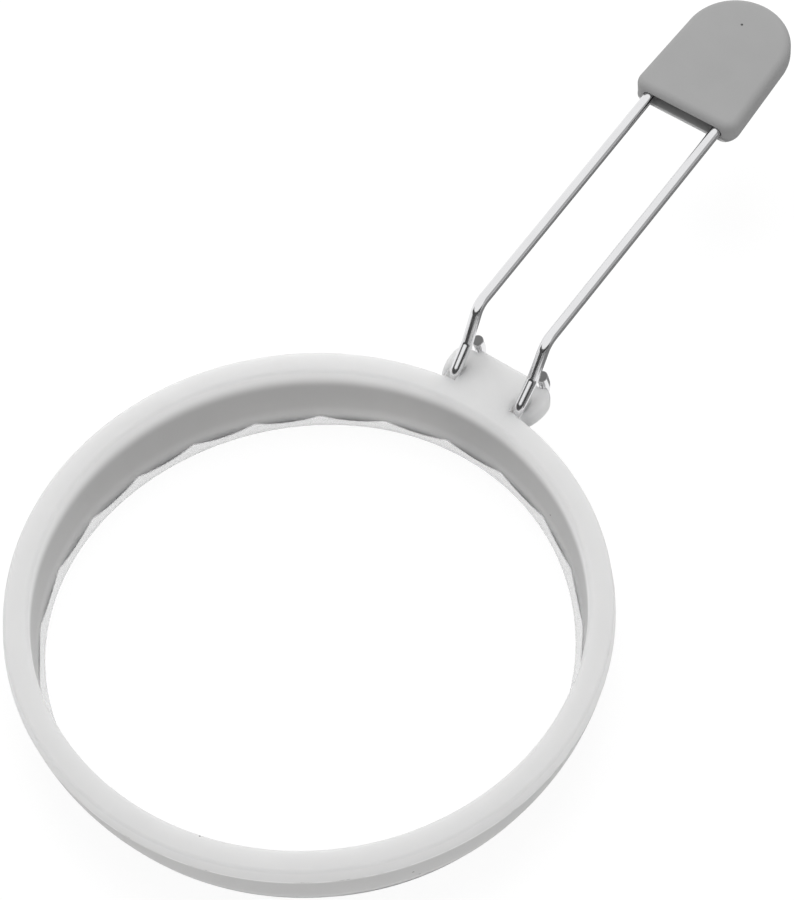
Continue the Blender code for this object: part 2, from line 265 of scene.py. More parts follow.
tree.links.new(math_node(tree, "SINE", angle), direction.inputs["Y"])
radial = tree.nodes.new("ShaderNodeVectorMath")
radial.operation = "SCALE"
tree.links.new(direction.outputs["Vector"], radial.inputs[0])
tree.links.new(outwards, radial.inputs["Scale"])
lowered = tree.nodes.new("ShaderNodeCombineXYZ")
tree.links.new(math_node(tree, "MULTIPLY", drop, -1), lowered.inputs["Z"])
offset = tree.nodes.new("ShaderNodeVectorMath")
tree.links.new(radial.outputs["Vector"], offset.inputs[0])
tree.links.new(lowered.outputs["Vector"], offset.inputs[1])
tree.links.new(sweep.outputs["Mesh"], move.inputs["Geometry"])
tree.links.new(offset.outputs["Vector"], move.inputs["Offset"])
tree.links.new(move.outputs["Geometry"], realize.inputs["Geometry"])
tree.links.new(realize.outputs["Geometry"], paint.inputs["Geometry"])
tree.links.new(given.outputs["Material"], paint.inputs["Material"])
tree.links.new(paint.outputs["Geometry"], made.inputs["Geometry"])


def grey(tone):
    """A neutral colour."""
    return (tone, tone, tone, 1)


def mix_colours(tree, share, first, second, blend="MIX"):
    """A Mix node from one colour to another, fed by sockets or plain values; returns its result."""
    node = tree.nodes.new("ShaderNodeMix")
    node.data_type = "RGBA"
    node.blend_type = blend
    for label, value in (("Factor", share), ("A", first), ("B", second)):
        if isinstance(value, bpy.types.NodeSocket):
            tree.links.new(value, node.inputs[label])
        else:
            node.inputs[label].default_value = value
    return node.outputs["Result"]


def fade(tree, value, start, end, before, after):
    """A smooth change from one value to another."""
    node = tree.nodes.new("ShaderNodeMapRange")
    node.interpolation_type = "SMOOTHSTEP"
    limits = {"From Min": start, "From Max": end, "To Min": before, "To Max": after}
    for label, number in limits.items():
        node.inputs[label].default_value = number
    tree.links.new(value, node.inputs["Value"])
    return node.outputs["Result"]


def attribute(tree, name):
    """A number that the mesh carries under a name."""
    node = tree.nodes.new("ShaderNodeAttribute")
    node.attribute_name = name
    return node.outputs["Fac"]


# Satin milky silicone: light soaks in a few millimetres, with a faint clouding and a fine grain
GRAIN_DETAIL = 3
moulded = bpy.data.node_groups.new("moulded_silicone", "ShaderNodeTree")
for label, kind in (("Cloud Scale", "NodeSocketFloat"), ("Grain Scale", "NodeSocketFloat"),
                    ("Dark", "NodeSocketColor"), ("Light", "NodeSocketColor"),
                    ("Smooth", "NodeSocketFloat"), ("Rough", "NodeSocketFloat")):
    moulded.interface.new_socket(label, in_out="INPUT", socket_type=kind)
for label, kind in (("Colour", "NodeSocketColor"), ("Roughness", "NodeSocketFloat"),
                    ("Height", "NodeSocketFloat")):
    moulded.interface.new_socket(label, in_out="OUTPUT", socket_type=kind)
group_in = moulded.nodes.new("NodeGroupInput")
group_out = moulded.nodes.new("NodeGroupOutput")
coordinates = moulded.nodes.new("ShaderNodeTexCoord")
clouds = moulded.nodes.new("ShaderNodeTexNoise")
grain = moulded.nodes.new("ShaderNodeTexNoise")
grain.inputs["Detail"].default_value = GRAIN_DETAIL
spread = moulded.nodes.new("ShaderNodeMapRange")
for texture, label in ((clouds, "Cloud Scale"), (grain, "Grain Scale")):
    moulded.links.new(coordinates.outputs["Object"], texture.inputs["Vector"])
    moulded.links.new(group_in.outputs[label], texture.inputs["Scale"])
clouded = mix_colours(moulded, clouds.outputs["Fac"], group_in.outputs["Dark"],
                      group_in.outputs["Light"])
moulded.links.new(grain.outputs["Fac"], spread.inputs["Value"])
moulded.links.new(group_in.outputs["Smooth"], spread.inputs["To Min"])
moulded.links.new(group_in.outputs["Rough"], spread.inputs["To Max"])
moulded.links.new(clouded, group_out.inputs["Colour"])
moulded.links.new(spread.outputs["Result"], group_out.inputs["Roughness"])
moulded.links.new(grain.outputs["Fac"], group_out.inputs["Height"])


def silicone(name, values, bump):
    """A Principled material fed by the moulded silicone group."""
    material = bpy.data.materials.new(name)
    material.use_nodes = True
    nodes, links = material.node_tree.nodes, material.node_tree.links
    shader = nodes["Principled BSDF"]
    effect = nodes.new("ShaderNodeGroup")
    effect.node_tree = moulded
    for label, value in values.items():
        effect.inputs[label].default_value = value
    relief = nodes.new("ShaderNodeBump")
    relief.inputs["Distance"].default_value = bump
    relief.inputs["Strength"].default_value = 1
    links.new(effect.outputs["Colour"], shader.inputs["Base Color"])
    links.new(effect.outputs["Roughness"], shader.inputs["Roughness"])
    links.new(effect.outputs["Height"], relief.inputs["Height"])
    links.new(relief.outputs["Normal"], shader.inputs["Normal"])
    return material, shader


# A fleck of dust caught in silicone: it darkens the colour round one point
FLECK_TONE = 0.04
fleck = bpy.data.node_groups.new("dust_fleck", "ShaderNodeTree")
for label, kind in (("Colour", "NodeSocketColor"), ("Place", "NodeSocketVector"),
                    ("Size", "NodeSocketFloat"), ("Depth", "NodeSocketFloat")):
    fleck.interface.new_socket(label, in_out="INPUT", socket_type=kind)
fleck.interface.new_socket("Colour", in_out="OUTPUT", socket_type="NodeSocketColor")
group_in = fleck.nodes.new("NodeGroupInput")
group_out = fleck.nodes.new("NodeGroupOutput")
coordinates = fleck.nodes.new("ShaderNodeTexCoord")
away = fleck.nodes.new("ShaderNodeVectorMath")
away.operation = "DISTANCE"
fleck.links.new(coordinates.outputs["Object"], away.inputs[0])
fleck.links.new(group_in.outputs["Place"], away.inputs[1])
near = math_node(fleck, "LESS_THAN", away.outputs["Value"], group_in.outputs["Size"])
darkened = mix_colours(fleck, math_node(fleck, "MULTIPLY", near, group_in.outputs["Depth"]),
                       group_in.outputs["Colour"], grey(FLECK_TONE))
fleck.links.new(darkened, group_out.inputs["Colour"])


def add_flecks(piece, material, flecks):
    """Put dust flecks, each a place, a size and a depth, where a piece's skin is nearest."""
    bpy.context.view_layer.update()
    shade = material.node_tree.nodes["Principled BSDF"].inputs["Base Color"]
    for place, size, depth in flecks:
        colour = shade.links[0].from_socket
        spot = material.node_tree.nodes.new("ShaderNodeGroup")
        spot.node_tree = fleck
        spot.inputs["Place"].default_value = piece.closest_point_on_mesh(Vector(place) * MM)[1]
        spot.inputs["Size"].default_value = size * MM
        spot.inputs["Depth"].default_value = depth
        material.node_tree.links.new(colour, spot.inputs["Colour"])
        material.node_tree.links.new(spot.outputs["Colour"], shade)


white_silicone, white_shader = silicone("white_silicone", {
    "Cloud Scale": 55, "Grain Scale": 1500, "Dark": grey(0.68), "Light": grey(0.72),
    "Smooth": 0.38, "Rough": 0.52}, 0.02 * MM)
white_shader.inputs["Subsurface Weight"].default_value = 1.0
white_shader.inputs["Subsurface Radius"].default_value = (1, 0.98, 0.96)
white_shader.inputs["Subsurface Scale"].default_value = 11 * MM
white_shader.inputs["Specular IOR Level"].default_value = 0.35

# The thick rim and lug are paler than the thin wall, which is lighter again at the foot. This is
# partly the milkier look of thick silicone and partly painted light: a painted glow near the top of
# the walls for light that soaks in through the rim, painted light on the lug's shaded sides, and a
# painted bounce from the table at the foot. Each rise gives two heights, and the colour's factor
# below the first and above the second.
INSIDE_RISE = (12.2 * MM, 16.6 * MM, 0.71, 1.2)
OUTSIDE_RISE = (13.4 * MM, 14.8 * MM, 0.83, 1.15)
LUG_PAINTED_LIGHT = (13.2 * MM, 17.2 * MM, 1.3, 1)
FOOT_PAINTED_BOUNCE = (1.6 * MM, 6.0 * MM, 0.16, 0)
TOP_RISE = (17.2 * MM, 18.2 * MM, 0, 1)
INSIDE_SKIN = 1.0 * MM
LUG_START = 0.3 * MM
web = white_silicone.node_tree
nodes, links = web.nodes, web.links
coordinates = nodes.new("ShaderNodeTexCoord")
split = nodes.new("ShaderNodeSeparateXYZ")
links.new(coordinates.outputs["Object"], split.inputs["Vector"])
level_place = nodes.new("ShaderNodeCombineXYZ")
links.new(split.outputs["X"], level_place.inputs["X"])
links.new(split.outputs["Y"], level_place.inputs["Y"])
reach = nodes.new("ShaderNodeVectorMath")
reach.operation = "DISTANCE"
reach.inputs[1].default_value = RING_CENTRE
links.new(level_place.outputs["Vector"], reach.inputs[0])
inside_rise, outside_rise, lug_painted_light, foot_painted_bounce, top_share = [
    fade(web, split.outputs["Z"], *rise)
    for rise in (INSIDE_RISE, OUTSIDE_RISE, LUG_PAINTED_LIGHT, FOOT_PAINTED_BOUNCE, TOP_RISE)]
outside = math_node(web, "GREATER_THAN", reach.outputs["Value"], inner_radius + INSIDE_SKIN)
on_lug = math_node(web, "GREATER_THAN", reach.outputs["Value"], parting_radius + LUG_START)
choose = nodes.new("ShaderNodeMix")
links.new(outside, choose.inputs["Factor"])
links.new(inside_rise, choose.inputs["A"])
links.new(outside_rise, choose.inputs["B"])
even_out = nodes.new("ShaderNodeMix")
even_out.inputs["B"].default_value = 1
links.new(top_share, even_out.inputs["Factor"])
links.new(math_node(web, "ADD", choose.outputs["Result"], foot_painted_bounce), even_out.inputs["A"])
# Painted light by height, mixed with the milkier tone of thick silicone
milky_and_painted_light = math_node(web, "MAXIMUM", even_out.outputs["Result"],
                      math_node(web, "MULTIPLY", on_lug, lug_painted_light))
plain_white = white_shader.inputs["Base Color"].links[0].from_socket
tinted = mix_colours(web, 1, plain_white, milky_and_painted_light, "MULTIPLY")

# Painted light on the parting line: where it stands up its colour is whitened, a painted highlight
# for the light it catches, and where it was trimmed its nicks are darkened, a painted shade for
# their hollows.
TRIM_SCALE = 230
TRIM_DETAIL = 3
STANDING = (0.42, 0.52, 0, 1)
NICKED = (0.36, 0.32, 0, 0.5)
FLASH_HIGHLIGHT_TONE = 1.0
NICK_SHADE_TONE = 0.2
on_line = attribute(web, "flash_share")
trim = nodes.new("ShaderNodeTexNoise")
trim.inputs["Scale"].default_value = TRIM_SCALE
trim.inputs["Detail"].default_value = TRIM_DETAIL
links.new(coordinates.outputs["Object"], trim.inputs["Vector"])
standing = math_node(web, "MULTIPLY", on_line, fade(web, trim.outputs["Fac"], *STANDING))
nicked = math_node(web, "MULTIPLY", on_line, fade(web, trim.outputs["Fac"], *NICKED))
# Painted highlight on the line, then painted shade in its nicks
flash_painted_highlight = mix_colours(web, standing, tinted, grey(FLASH_HIGHLIGHT_TONE))
flash_highlight_and_nick_shade = mix_colours(web, nicked, flash_painted_highlight, grey(NICK_SHADE_TONE))
links.new(flash_highlight_and_nick_shade, white_shader.inputs["Base Color"])

# The thin lip lets through what lies under it
THINNEST_BODY = 0.12
body = nodes.new("ShaderNodeMapRange")
body.inputs["To Min"].default_value = 1
body.inputs["To Max"].default_value = THINNEST_BODY
links.new(attribute(web, "lip_share"), body.inputs["Value"])
links.new(body.outputs["Result"], white_shader.inputs["Alpha"])

ring_sizes = {
    "Radius": RIM_RADIUS, "Steps": RING_STEPS, "Scallop Count": SCALLOP_COUNT,
    "Scallop Turn": SCALLOP_TURN, "Scallop Drop": SCALLOP_DROP, "Scallop Bulge": SCALLOP_BULGE,
    "Flash Height": FLASH_HEIGHT, "Material": white_silicone}
for waves, height, turn in WANDER:
    ring_sizes["Wander %d" % waves] = height
    ring_sizes["Wander %d Turn" % waves] = turn
run_tree(ring_sweep, tree, ring_sizes)
ring = plain_mesh(ring_sweep, "ring_moulding")
ring.data.transform(Matrix.Translation(RING_CENTRE))

# The hinge lug: part of the same moulding, flush with the rim, with round ends. Two slots take
# the wire's eyes and a rounded bar crosses each slot; the slots hug the wire.
LUG_REACH = 10.2 * MM
LUG_HALF_WIDTH = 12.8 * MM
LUG_THICKNESS = 6.0 * MM
LUG_CORNER = 4.0 * MM
LUG_SIDE_STRAIGHT = 0.4 * MM
LUG_FLANK_RADIUS = 12.0 * MM
LUG_FLANK_TURN = math.radians(45.0)
LUG_EDGE_ROUND = 2.2 * MM
LUG_ROOT_COVER = 0.3 * MM
BAR_WIDTH = 6.1 * MM
BAR_SETBACK = 1.15 * MM
BAR_SINK = 0.15 * MM
BAR_CORNER = 1.6 * MM
BAR_ROOT = 0.6 * MM
RIM_NOTCH = 0.75 * MM
EYE_SPACING = 17.3 * MM
WIRE_RADIUS = 1.32 * MM
SLOT_EASE = 0.06 * MM
CUT_OVER = 2.0 * MM
EDGE_STEPS = 10
LUG_STEPS = 16
BAR_STEPS = 8

lug_edge = RIM_RADIUS + LUG_REACH
bar_middle = lug_edge - BAR_SETBACK - BAR_WIDTH / 2
bar_height = LUG_THICKNESS - 2 * BAR_SINK
axis_height = RING_HEIGHT - LUG_THICKNESS / 2
eye_half_spacing = EYE_SPACING / 2
slot_half_width = WIRE_RADIUS + SLOT_EASE
hinge_axis = RING_CENTRE + Vector((bar_middle, 0, axis_height))


def prism(name, outline, thickness, edge_round):
    """A flat piece of even thickness about z = 0, with rounded edges if asked."""
    work = bmesh.new()
    floor_loop = [work.verts.new((p[0], p[1], -thickness / 2)) for p in outline]
    base = work.faces.new(floor_loop)
    lifted = bmesh.ops.extrude_face_region(work, geom=[base])["geom"]
    top = [item for item in lifted if isinstance(item, bmesh.types.BMVert)]
    bmesh.ops.translate(work, verts=top, vec=(0, 0, thickness))
    if edge_round:
        level = [e for e in work.edges if abs(e.verts[0].co.z - e.verts[1].co.z) < WELD]
        bmesh.ops.bevel(work, geom=level, offset=edge_round, segments=EDGE_STEPS, profile=0.5,
                        affect="EDGES")
    bmesh.ops.remove_doubles(work, verts=work.verts, dist=WELD)
    bmesh.ops.recalc_face_normals(work, faces=work.faces)
    bmesh.ops.triangulate(work, faces=work.faces)
    mesh = bpy.data.meshes.new(name)
    work.to_mesh(mesh)
    work.free()
    return link(bpy.data.objects.new(name, mesh))


def combine(target, other, operation):
    """Join or cut a piece with another one and drop the other."""
    modifier = target.modifiers.new(operation, "BOOLEAN")
    modifier.operation = operation
    modifier.solver = "EXACT"
    modifier.object = other
    name = target.name
    target.name = name + "_before"
    joined = plain_mesh(target, name)
    bpy.data.objects.remove(other)
    return joined


corner_x = lug_edge - LUG_CORNER
corner_y = LUG_HALF_WIDTH - LUG_CORNER
flank_x = corner_x - LUG_SIDE_STRAIGHT
flank_y = LUG_HALF_WIDTH - LUG_FLANK_RADIUS
flank_end = QUARTER + LUG_FLANK_TURN
root_x = inner_radius + LUG_ROOT_COVER
root_y = flank_y + LUG_FLANK_RADIUS * math.sin(flank_end)
lug_plan = [Vector((root_x, -root_y))]
lug_plan += arc((flank_x, -flank_y), LUG_FLANK_RADIUS, -flank_end, -QUARTER, LUG_STEPS)
lug_plan += arc((corner_x, -corner_y), LUG_CORNER, -QUARTER, 0, LUG_STEPS)
lug_plan += arc((corner_x, corner_y), LUG_CORNER, 0, QUARTER, LUG_STEPS)
lug_plan += arc((flank_x, flank_y), LUG_FLANK_RADIUS, QUARTER, flank_end, LUG_STEPS)
lug_plan += [Vector((root_x, root_y))]
lug = prism("lug", lug_plan, LUG_THICKNESS, LUG_EDGE_ROUND)
lug.data.transform(Matrix.Translation(RING_CENTRE + Vector((0, 0, axis_height))))
ring = combine(ring, lug, "UNION")

bar_x, bar_z = BAR_WIDTH / 2 - BAR_CORNER, bar_height / 2 - BAR_CORNER
bar_corners = ((bar_x, bar_z), (-bar_x, bar_z), (-bar_x, -bar_z), (bar_x, -bar_z))
bar_section = []
for number, corner in enumerate(bar_corners):
    bar_section += arc(corner, BAR_CORNER, number * QUARTER, (number + 1) * QUARTER, BAR_STEPS)
for side in (1, -1):
    low = side * eye_half_spacing - slot_half_width
    high = side * eye_half_spacing + slot_half_width
    start, end = RIM_RADIUS - RIM_NOTCH, lug_edge + CUT_OVER
    slot = prism("slot", [(start, low), (end, low), (end, high), (start, high)],
                 LUG_THICKNESS + 2 * CUT_OVER, 0)
    slot.data.transform(Matrix.Translation(RING_CENTRE + Vector((0, 0, axis_height))))
    ring = combine(ring, slot, "DIFFERENCE")
    bar = prism("bar", bar_section, 2 * slot_half_width + 2 * BAR_ROOT, 0)
    bar_place = Matrix.Translation(hinge_axis + Vector((0, side * eye_half_spacing, 0)))
    bar.data.transform(bar_place @ Matrix.Rotation(QUARTER, 4, "X"))
    ring = combine(ring, bar, "UNION")
# Only the lip is thin and only the parting line stands up, so the shares that the cuts and joins
# left anywhere else go back to nothing
lip_shares = ring.data.attributes["lip_share"].data
flash_shares = ring.data.attributes["flash_share"].data
for vertex in ring.data.vertices:
    from_middle = (vertex.co.xy - RING_CENTRE.xy).length
    off_line = abs(vertex.co.z - parting_height) > FLASH_HALF_WIDTH / 2
    if vertex.co.z > SCALLOP_TOP:
        lip_shares[vertex.index].value = 0
    if off_line or from_middle > parting_radius + FLASH_HEIGHT:
        flash_shares[vertex.index].value = 0
ring.data.materials.clear()
ring.data.materials.append(white_silicone)
ring.data.shade_smooth()
ring.data.set_sharp_from_angle(angle=RING_CREASE)
# Each fleck's place in millimetres, its size and how dark it is
add_flecks(ring, white_silicone, (
    ((-92.85, -53.29, 9.26), 0.24, 1), ((-90.84, -53.43, 5.15), 0.3, 0.6),
    ((-2.92, -25.61, 5.72), 0.22, 1), ((-114.41, -15.55, 18.3), 0.2, 1)))
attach(ring, "ring")
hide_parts("silicone_ring")

# The handle: one length of polished stainless wire. Each end is bent into an open eye round a
# lug bar and sheared off flat; two bends lead up to the leg, and a half circle joins the legs.
EYE_GAP = 0.3 * MM
LEG_SPACING = 18.0 * MM
LEG_LENGTH = 89.65 * MM
LOWER_RUN = 6.0 * MM
UPPER_RUN = 9.6 * MM
TIP_TURN = math.radians(13.6)
TIP_LENGTH = 3.6 * MM
TIP_CHAMFER = 0.18 * MM
BEND_RADIUS = 4.0 * MM
LOWER_SLOPE = math.radians(46.0)
UPPER_SLOPE = math.radians(60.0)
LEG_SLOPE = math.radians(3.6)
WIRE_SIDES = 32
EYE_STEPS = 48
LOWER_BEND_STEPS = 6
UPPER_BEND_STEPS = 16
LEG_STEPS = 24
LOOP_STEPS = 40
WIRE_CREASE = math.radians(40)

half_spacing = LEG_SPACING / 2
bar_reach = BAR_CORNER + math.hypot(bar_x, bar_z)
eye_radius = bar_reach + EYE_GAP + WIRE_RADIUS


def along(slope, length):
    """A step of a length in the handle's side view, at a slope from the level."""
    return Vector((length * math.cos(slope), length * math.sin(slope)))


def bend(before, corner, after, radius, steps):
    """Points of an arc tangent to both runs that meet at a corner."""
    back = (before - corner).normalized()
    on = (after - corner).normalized()
    half = back.angle(on) / 2
    centre = corner + (back + on).normalized() * (radius / math.sin(half))
    reach = radius / math.tan(half)
    start = corner + back * reach - centre
    turn = start.angle_signed(corner + on * reach - centre)
    points = []
    for step in range(steps + 1):
        spoke = start.copy()
        spoke.rotate(Matrix.Rotation(-turn * step / steps, 2))
        points.append(centre + spoke)
    return points


run_start = Vector((-eye_radius * math.sin(LOWER_SLOPE), eye_radius * math.cos(LOWER_SLOPE)))
lower_bend = run_start + along(LOWER_SLOPE, LOWER_RUN)
upper_bend = lower_bend + along(UPPER_SLOPE, UPPER_RUN)
loop_middle = upper_bend + along(LEG_SLOPE, LEG_LENGTH)
eye = arc((0, 0), eye_radius, math.tau + TIP_TURN, QUARTER + LOWER_SLOPE, EYE_STEPS)
tip_slope = QUARTER + TIP_TURN
tip_lengths = (TIP_LENGTH, TIP_LENGTH - TIP_CHAMFER)
side_view = [eye[0] + along(tip_slope, length) for length in tip_lengths] + eye
eye_points = len(side_view)
side_view += bend(run_start, lower_bend, upper_bend, BEND_RADIUS, LOWER_BEND_STEPS)
side_view += bend(lower_bend, upper_bend, loop_middle, BEND_RADIUS, UPPER_BEND_STEPS)
side_view += straight(side_view[-1], loop_middle, LEG_STEPS)
left_leg = []
for number, point in enumerate(side_view):
    climb_share = (point.y - run_start.y) / (upper_bend.y - run_start.y)
    climb_share = min(1, climb_share) if number >= eye_points else 0
    spread = eye_half_spacing + (half_spacing - eye_half_spacing) * climb_share
    left_leg.append(Vector((point.x, spread, point.y)))
wire_path = list(left_leg)
for point in arc((0, 0), half_spacing, QUARTER, -QUARTER, LOOP_STEPS):
    rise = along(LEG_SLOPE, point.x)
    wire_path.append(Vector((loop_middle.x + rise.x, point.y, loop_middle.y + rise.y)))
wire_path += [Vector((p.x, -p.y, p.z)) for p in reversed(left_leg)]

path_mesh = bpy.data.meshes.new("wire_path")
path_mesh.from_pydata([tuple(hinge_axis + p) for p in wire_path],
                      [(n, n + 1) for n in range(len(wire_path) - 1)], [])
wire_sweep = link(bpy.data.objects.new("wire_sweep", path_mesh))
tree, given, made = new_tree("drawn_wire", [
    ("Radius", "NodeSocketFloat"), ("Sides", "NodeSocketInt"), ("Chamfer", "NodeSocketFloat"),
    ("Material", "NodeSocketMaterial")])
to_curve = tree.nodes.new("GeometryNodeMeshToCurve")
thick = tree.nodes.new("GeometryNodeSetCurveRadius")
mark_end = tree.nodes.new("GeometryNodeStoreNamedAttribute")
circle = tree.nodes.new("GeometryNodeCurvePrimitiveCircle")
sweep = tree.nodes.new("GeometryNodeCurveToMesh")
realize = tree.nodes.new("GeometryNodeRealizeInstances")
paint = tree.nodes.new("GeometryNodeSetMaterial")
ends = tree.nodes.new("GeometryNodeCurveEndpointSelection")
tree.links.new(given.outputs["Geometry"], to_curve.inputs["Mesh"])
tree.links.new(to_curve.outputs["Curve"], thick.inputs["Curve"])
narrowed = math_node(tree, "MULTIPLY", ends.outputs["Selection"], given.outputs["Chamfer"])
share = math_node(tree, "DIVIDE", narrowed, given.outputs["Radius"])
tree.links.new(math_node(tree, "SUBTRACT", 1, share), thick.inputs["Radius"])
mark_end.data_type = "FLOAT"
mark_end.domain = "POINT"
mark_end.inputs["Name"].default_value = "cut_end"
tree.links.new(ends.outputs["Selection"], mark_end.inputs["Value"])
tree.links.new(thick.outputs["Curve"], mark_end.inputs["Geometry"])
tree.links.new(given.outputs["Radius"], circle.inputs["Radius"])
tree.links.new(given.outputs["Sides"], circle.inputs["Resolution"])
tree.links.new(mark_end.outputs["Geometry"], sweep.inputs["Curve"])
tree.links.new(circle.outputs["Curve"], sweep.inputs["Profile Curve"])
sweep.inputs["Fill Caps"].default_value = True
radius_reader = tree.nodes.new("GeometryNodeInputRadius")
tree.links.new(radius_reader.outputs["Radius"], sweep.inputs["Scale"])
tree.links.new(sweep.outputs["Mesh"], realize.inputs["Geometry"])
tree.links.new(realize.outputs["Geometry"], paint.inputs["Geometry"])
tree.links.new(given.outputs["Material"], paint.inputs["Material"])
tree.links.new(paint.outputs["Geometry"], made.inputs["Geometry"])

# Polished steel with faint smears, dull where it was sheared off
SMEAR_SCALE = 260
POLISHED, SMEARED, SHEARED = 0.07, 0.17, 0.6
STEEL_DARK = (0.76, 0.76, 0.77, 1)
STEEL_LIGHT = (0.82, 0.82, 0.83, 1)
SHEARED_TONE = 0.24
steel = bpy.data.materials.new("polished_steel")
steel.use_nodes = True
nodes, links = steel.node_tree.nodes, steel.node_tree.links
shader = nodes["Principled BSDF"]
shader.inputs["Metallic"].default_value = 1
cut = attribute(steel.node_tree, "cut_end")
coordinates = nodes.new("ShaderNodeTexCoord")
smears = nodes.new("ShaderNodeTexNoise")
smears.inputs["Scale"].default_value = SMEAR_SCALE
links.new(coordinates.outputs["Object"], smears.inputs["Vector"])
polish = nodes.new("ShaderNodeMapRange")
polish.inputs["To Min"].default_value = POLISHED
polish.inputs["To Max"].default_value = SMEARED
links.new(smears.outputs["Fac"], polish.inputs["Value"])
shear = nodes.new("ShaderNodeMix")
shear.inputs["B"].default_value = SHEARED
links.new(cut, shear.inputs["Factor"])
links.new(polish.outputs["Result"], shear.inputs["A"])
links.new(shear.outputs["Result"], shader.inputs["Roughness"])
tint = mix_colours(steel.node_tree, smears.outputs["Fac"], STEEL_DARK, STEEL_LIGHT)
dull = mix_colours(steel.node_tree, cut, tint, grey(SHEARED_TONE))
links.new(dull, shader.inputs["Base Color"])

run_tree(wire_sweep, tree, {"Radius": WIRE_RADIUS, "Sides": WIRE_SIDES, "Chamfer": TIP_CHAMFER,
                            "Material": steel})
wire = plain_mesh(wire_sweep, "bent_wire")
wire.data.shade_smooth()
wire.data.set_sharp_from_angle(angle=WIRE_CREASE)
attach(wire, "handle")
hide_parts("handle_wire")

# The grip: a flat tongue of matt grey silicone, moulded hollow and pushed over the wire's end.
# Its mouth is a slot as high as the wire with a round hole at each side for a leg.
GRIP_WIDTH = 25.3 * MM
GRIP_MOUTH_WIDTH = 26.8 * MM
GRIP_STRAIGHT = 22.1 * MM
GRIP_THICKNESS = 6.2 * MM
GRIP_CORNER = 3.0 * MM
GRIP_EDGE_ROUND = 2.0 * MM
HOLE_EASE = 0.18 * MM
SLIT_HEIGHT = 3.0 * MM
LOWER_LIP_RUN = 2.0 * MM
LOWER_LIP_PROUD = 0.7 * MM
ROUND_END_STEPS = 48
GRIP_CORNER_STEPS = 10
SLIT_STEPS = 24
HOLE_SIDES = 32
GRIP_CREASE = math.radians(35)
# Tone and margin of the painted highlight on the mouth's lower lip
LIP_HIGHLIGHT_TONE = 0.72
LIP_HIGHLIGHT_MARGIN = 0.1 * MM


def tongue(radius, straight_run, mouth_half_width, corner):
    """Plan of a tongue: a round end about the origin and two sides running back to a mouth."""
    outline = arc((0, 0), radius, -QUARTER, QUARTER, ROUND_END_STEPS)
    back = -straight_run + corner
    side = mouth_half_width - corner
    outline += arc((back, side), corner, QUARTER, 2 * QUARTER, GRIP_CORNER_STEPS)
    outline += arc((back, -side), corner, 2 * QUARTER, 3 * QUARTER, GRIP_CORNER_STEPS)
    return outline


grip_plan = tongue(GRIP_WIDTH / 2, GRIP_STRAIGHT, GRIP_MOUTH_WIDTH / 2, GRIP_CORNER)
grip = prism("grip", grip_plan, GRIP_THICKNESS, GRIP_EDGE_ROUND)
cut_reach = GRIP_STRAIGHT + CUT_OVER
slit_plan = arc((0, 0), half_spacing, -QUARTER, QUARTER, SLIT_STEPS)
slit_plan += [Vector((-cut_reach, half_spacing)), Vector((-cut_reach, -half_spacing))]
slit = prism("slit", slit_plan, SLIT_HEIGHT, 0)
grip = combine(grip, slit, "DIFFERENCE")
last_turn = math.tau * (HOLE_SIDES - 1) / HOLE_SIDES
hole_plan = arc((0, 0), WIRE_RADIUS + HOLE_EASE, 0, last_turn, HOLE_SIDES - 1)
for side in (1, -1):
    hole = prism("hole", hole_plan, cut_reach, 0)
    hole_place = Matrix.Translation((-cut_reach / 2, side * half_spacing, 0))
    hole.data.transform(hole_place @ Matrix.Rotation(QUARTER, 4, "Y"))
    grip = combine(grip, hole, "DIFFERENCE")
# Under the slot the mouth's lower lip stands a little proud
for vertex in grip.data.vertices:
    if vertex.co.z < -SLIT_HEIGHT / 2 + WELD:
        lip_reach = (-GRIP_STRAIGHT + LOWER_LIP_RUN - vertex.co.x) / LOWER_LIP_RUN
        vertex.co.x -= LOWER_LIP_PROUD * min(1, max(0, lip_reach))
grip_place = Matrix.Translation(hinge_axis + Vector((loop_middle.x, 0, loop_middle.y)))
grip.data.transform(grip_place @ Matrix.Rotation(-LEG_SLOPE, 4, "Y"))
grip.name = "grip"
grey_silicone, grey_shader = silicone("grey_silicone", {
    "Cloud Scale": 90, "Grain Scale": 1800, "Dark": grey(0.345), "Light": grey(0.385),
    "Smooth": 0.55, "Rough": 0.72}, 0.03 * MM)
grey_shader.inputs["Specular IOR Level"].default_value = 0.3
# Painted highlight: the lower lip's edge is made paler, for the light it catches below the slot
web = grey_silicone.node_tree
nodes, links = web.nodes, web.links
coordinates = nodes.new("ShaderNodeTexCoord")
grip_middle = grip_place.to_translation()
grip_way = Vector((math.cos(LEG_SLOPE), 0, math.sin(LEG_SLOPE)))
grip_normal = Vector((-math.sin(LEG_SLOPE), 0, math.cos(LEG_SLOPE)))
sides = []
for direction in (grip_way, grip_normal):
    measure = nodes.new("ShaderNodeVectorMath")
    measure.operation = "DOT_PRODUCT"
    measure.inputs[1].default_value = direction
    links.new(coordinates.outputs["Object"], measure.inputs[0])
    sides.append(math_node(web, "SUBTRACT", measure.outputs["Value"], grip_middle.dot(direction)))
at_edge = fade(web, sides[0], -GRIP_STRAIGHT, -GRIP_STRAIGHT - LOWER_LIP_PROUD / 3, 0, 1)
below = math_node(web, "LESS_THAN", sides[1], -SLIT_HEIGHT / 2 + LIP_HIGHLIGHT_MARGIN)
plain_grey = grey_shader.inputs["Base Color"].links[0].from_socket
lip_painted_highlight = mix_colours(web, math_node(web, "MULTIPLY", at_edge, below), plain_grey, grey(LIP_HIGHLIGHT_TONE))
links.new(lip_painted_highlight, grey_shader.inputs["Base Color"])
add_flecks(grip, grey_silicone, (((113.65, 1.20, 40.51), 0.3, 0.9),))
grip.data.materials.clear()
grip.data.materials.append(grey_silicone)
grip.data.shade_smooth()
grip.data.set_sharp_from_angle(angle=GRIP_CREASE)
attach(grip, "handle")
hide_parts("grip_sleeve")

# The table: a plain pale surface that fades to white and keeps the object's shadow
FLOOR_HALF = 3.0
FLOOR_DROP = 0.04 * MM
